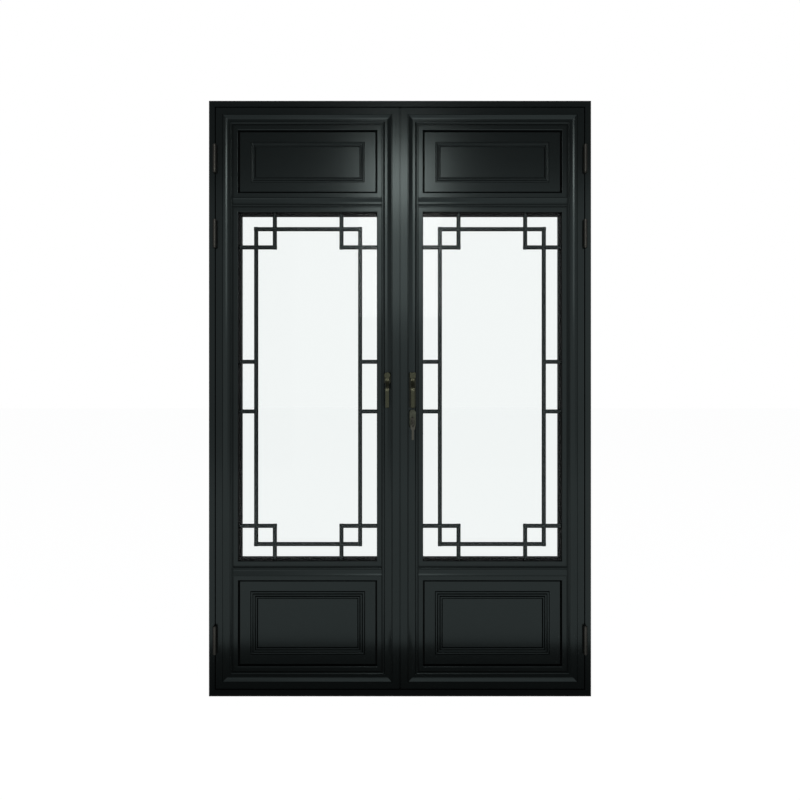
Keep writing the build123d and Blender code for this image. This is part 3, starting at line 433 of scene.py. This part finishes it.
def pile_seal():
    """A brush on the left leaf's meeting edge: short fibres that close the gap between the leaves."""
    rng = random.Random(PILE_SEED)
    points = []
    faces = []
    for layer, y in enumerate(PILE_DEPTHS):
        z = PILE_BOTTOM + layer * PILE_PITCH / len(PILE_DEPTHS)
        while z < PILE_TOP - PILE_WIDTH:
            tip = PILE_TIP_X - rng.uniform(0.0, PILE_TIP_SPREAD) * MM
            lean = rng.uniform(-PILE_LEAN, PILE_LEAN) * MM
            start = len(points)
            points.append((PILE_ROOT_X, y, z))
            points.append((tip, y + lean, z + lean))
            points.append((tip, y + lean, z + lean + PILE_WIDTH))
            points.append((PILE_ROOT_X, y, z + PILE_WIDTH))
            faces.append((start, start + 1, start + 2, start + 3))
            z += PILE_PITCH
    brush = mesh_object("meeting_brush", points, faces, pile)
    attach(brush, "left_leaf")


def area_light(name, place, direction, size, power, colour=WHITE):
    """A rectangular lamp. size is its width and its height."""
    data = bpy.data.lights.new(name, "AREA")
    data.shape = "RECTANGLE"
    data.size, data.size_y = size
    data.energy = power
    data.color = colour
    lamp = bpy.data.objects.new(name, data)
    bpy.context.scene.collection.objects.link(lamp)
    lamp.location = place
    lamp.rotation_euler = Vector(direction).to_track_quat("-Z", "Y").to_euler()
    return lamp


def background(tree, colour, strength):
    shade = tree.nodes.new("ShaderNodeBackground")
    shade.inputs["Color"].default_value = (*colour, 1.0)
    shade.inputs["Strength"].default_value = strength
    return shade


def white_world(level):
    """White to camera rays, also straight through the glass, and a plain level of light for the rest."""
    world = bpy.data.worlds.new("studio")
    world.use_nodes = True
    tree = world.node_tree
    tree.nodes.clear()
    path = tree.nodes.new("ShaderNodeLightPath")
    white = background(tree, WHITE, 1.0)
    soft = background(tree, WORLD_TINT, level)
    mix = tree.nodes.new("ShaderNodeMixShader")
    output = tree.nodes.new("ShaderNodeOutputWorld")
    tree.links.new(path.outputs["Is Camera Ray"], mix.inputs["Fac"])
    tree.links.new(soft.outputs["Background"], mix.inputs[1])
    tree.links.new(white.outputs["Background"], mix.inputs[2])
    tree.links.new(mix.outputs["Shader"], output.inputs["Surface"])
    bpy.context.scene.world = world


def floor_material():
    """A plain base that takes the shadow, and a glow that only the camera sees."""
    material, tree, shader = new_material("white_floor")
    shader.inputs["Base Color"].default_value = (FLOOR_BASE, FLOOR_BASE, FLOOR_BASE, 1.0)
    shader.inputs["Roughness"].default_value = 1.0
    shader.inputs["Specular IOR Level"].default_value = 0.0
    glow = tree.nodes.new("ShaderNodeEmission")
    glow.inputs["Color"].default_value = (FLOOR_GLOW, FLOOR_GLOW, FLOOR_GLOW, 1.0)
    path = tree.nodes.new("ShaderNodeLightPath")
    add = tree.nodes.new("ShaderNodeAddShader")
    tree.links.new(path.outputs["Is Camera Ray"], glow.inputs["Strength"])
    tree.links.new(shader.outputs["BSDF"], add.inputs[0])
    tree.links.new(glow.outputs["Emission"], add.inputs[1])
    tree.links.new(add.outputs["Shader"], tree.nodes["Material Output"].inputs["Surface"])
    return material


def white_floor():
    """A floor that looks white, with a soft contact shadow."""
    reach = FLOOR_REACH
    outline = [(-reach, -reach, 0), (reach, -reach, 0), (reach, reach, 0), (-reach, reach, 0)]
    mesh_object("floor", outline, [(0, 1, 2, 3)], floor_material())


def place_camera():
    """A level camera in front of the door, with a small shift."""
    data = bpy.data.cameras.new("camera")
    data.sensor_width = SENSOR_WIDTH
    data.lens = SENSOR_WIDTH * CAMERA_DISTANCE / FIELD_WIDTH
    data.shift_y = SHIFT_UP
    camera = bpy.data.objects.new("camera", data)
    bpy.context.scene.collection.objects.link(camera)
    camera.location = (CAMERA_CENTRE_X, FRONT_Y - CAMERA_DISTANCE, CAMERA_HEIGHT)
    camera.rotation_euler = Vector(FORWARD).to_track_quat("-Z", "Y").to_euler()
    bpy.context.scene.camera = camera


coat = grained("powder_coat", COAT, COAT_LIGHTER, 0.0, (0.16, 0.21), 1600.0, 0.12, COAT_SHEEN)
rubber = grained("gasket_rubber", RUBBER, COAT, 0.0, (0.65, 0.8), 900.0, 0.1)
# Near-black and matte: painted shade in the moulding's and rails' grooves, and the real colour of the
# panels' gaskets
shade_and_gasket_finish = grained("painted_groove_shade_and_gasket", SHADE_AND_GASKET_BLACK, RUBBER, 0.0, (0.9, 1.0), 900.0, 0.1)
hinge = grained("hinge_coat", HINGE, HINGE_WORN, 0.8, (0.3, 0.42), 1200.0, 0.1)
bronze = grained("antique_bronze", BRONZE, BRONZE_DARK, 0.85, (0.22, 0.34), 220.0, 0.1)
steel = grained("plain_steel", STEEL, ALUMINIUM, 1.0, (0.28, 0.4), 900.0, 0.05)
aluminium = grained("mill_aluminium", ALUMINIUM, STEEL, 1.0, (0.3, 0.42), 700.0, 0.05)
plug = grained("plug_brass", PLUG, BRONZE, 1.0, (0.25, 0.35), 900.0, 0.05)
aged = grained("aged_key", KEY_METAL, KEY_WORN, 0.9, (0.3, 0.45), 500.0, 0.05)
pile = grained("brush_pile", RUBBER, COAT, 0.0, (0.85, 0.95), 1200.0, 0.2)
glass = glass_material()
plate = grained("handle_plate", PLATE_METAL, BRONZE_DARK, 0.85, (0.28, 0.42), 220.0, 0.1)
brighter_below(plate, PLATE_BOTTOM, ESCUTCHEON_METAL, BRONZE_DARK)

FINISHES = {
    "coated_frame": coat,
    "coated_panel": coat,
    "lattice_coat": coat,
    "seal_rubber": rubber,
    "pane_glass": glass,
    "spacer_bar": rubber,
    "mill_aluminium": aluminium,
    "hinge_coat": hinge,
    "handle_bronze": bronze,
    "bright_steel": steel,
    "plug_brass": plug,
}
NODE_FINISHES = {
    "right_key": aged,
    "spare_key_on_ring": aged,
    "right_cylinder": aged,
    "right_cylinder_plug": aged,
    "left_handle_plates": plate,
    "right_handle_plates": plate,
}

for entry in frame["record"]["subparts"]:
    slots = nodes[entry["node"]].data.materials
    slots.clear()
    slots.append(NODE_FINISHES.get(entry["node"], FINISHES[entry["material_slot"]]))

fine_leaf("left", -1)
fine_leaf("right", 1)
pile_seal()
white_world(WORLD_LEVEL)
white_floor()
area_light("wall_left", (-4.0, WALL_Y, WALL_MIDDLE), FORWARD, (5.0, WALL_TALL), 27.0)
area_light("wall_right", (2.5, WALL_Y, WALL_MIDDLE), FORWARD, (8.0, WALL_TALL), 74.0)
area_light("floor_bounce", BOUNCE_PLACE, UPWARD, (9.0, 5.5), 118.0)
area_light("high_window", (0.0, HIGHLIGHT_Y, 4.07), FORWARD, (0.95, 0.75), 22.0, (1.0, 0.95, 0.92))
area_light("mid_window", (0.0, HIGHLIGHT_Y, 2.9), FORWARD, (1.15, 1.5), 10.0, (1.0, 0.97, 0.95))
place_camera()
bpy.context.scene.view_settings.view_transform = "Standard"
